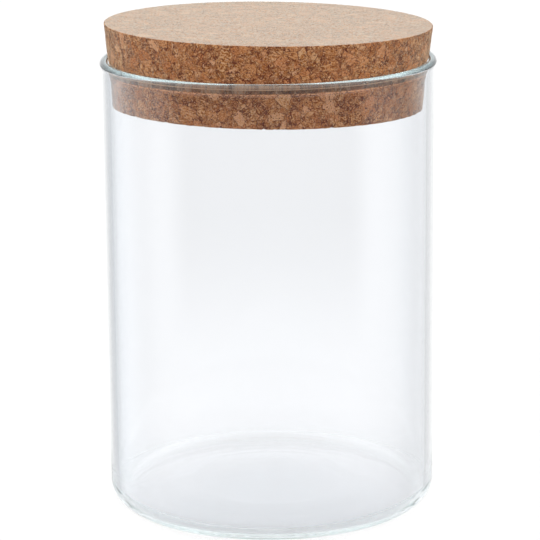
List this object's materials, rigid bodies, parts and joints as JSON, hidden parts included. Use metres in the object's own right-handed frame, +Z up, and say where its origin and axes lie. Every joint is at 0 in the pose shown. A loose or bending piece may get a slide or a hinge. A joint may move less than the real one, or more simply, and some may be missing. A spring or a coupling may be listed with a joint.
{
  "type": "glass storage jar",
  "caption": "Straight clear glass storage jar with a rounded lip and heel, closed by a tapered pressed-cork stopper lid that pulls off.",
  "frame": {"origin": "centre of the foot ring, on the plane the jar stands on", "axes": "+Z up along the jar's axis, towards the lid; -Y is the side seen in the picture, with +X to its right"},
  "size_m": [0.1012, 0.1012, 0.149],
  "materials": {
    "glass": "clear, fire-polished",
    "cork": "pressed cork granules, matt, sanded"
  },
  "bodies": {
    "jar": {"glass_jar": "glass"},
    "lid": {"cork_lid": "cork"}
  },
  "joints": [
    {"name": "lid_lift", "type": "slide", "parent": "jar", "child": "lid", "axis": [0, 0, 1], "range_m": [0, 0.1]}
  ]
}
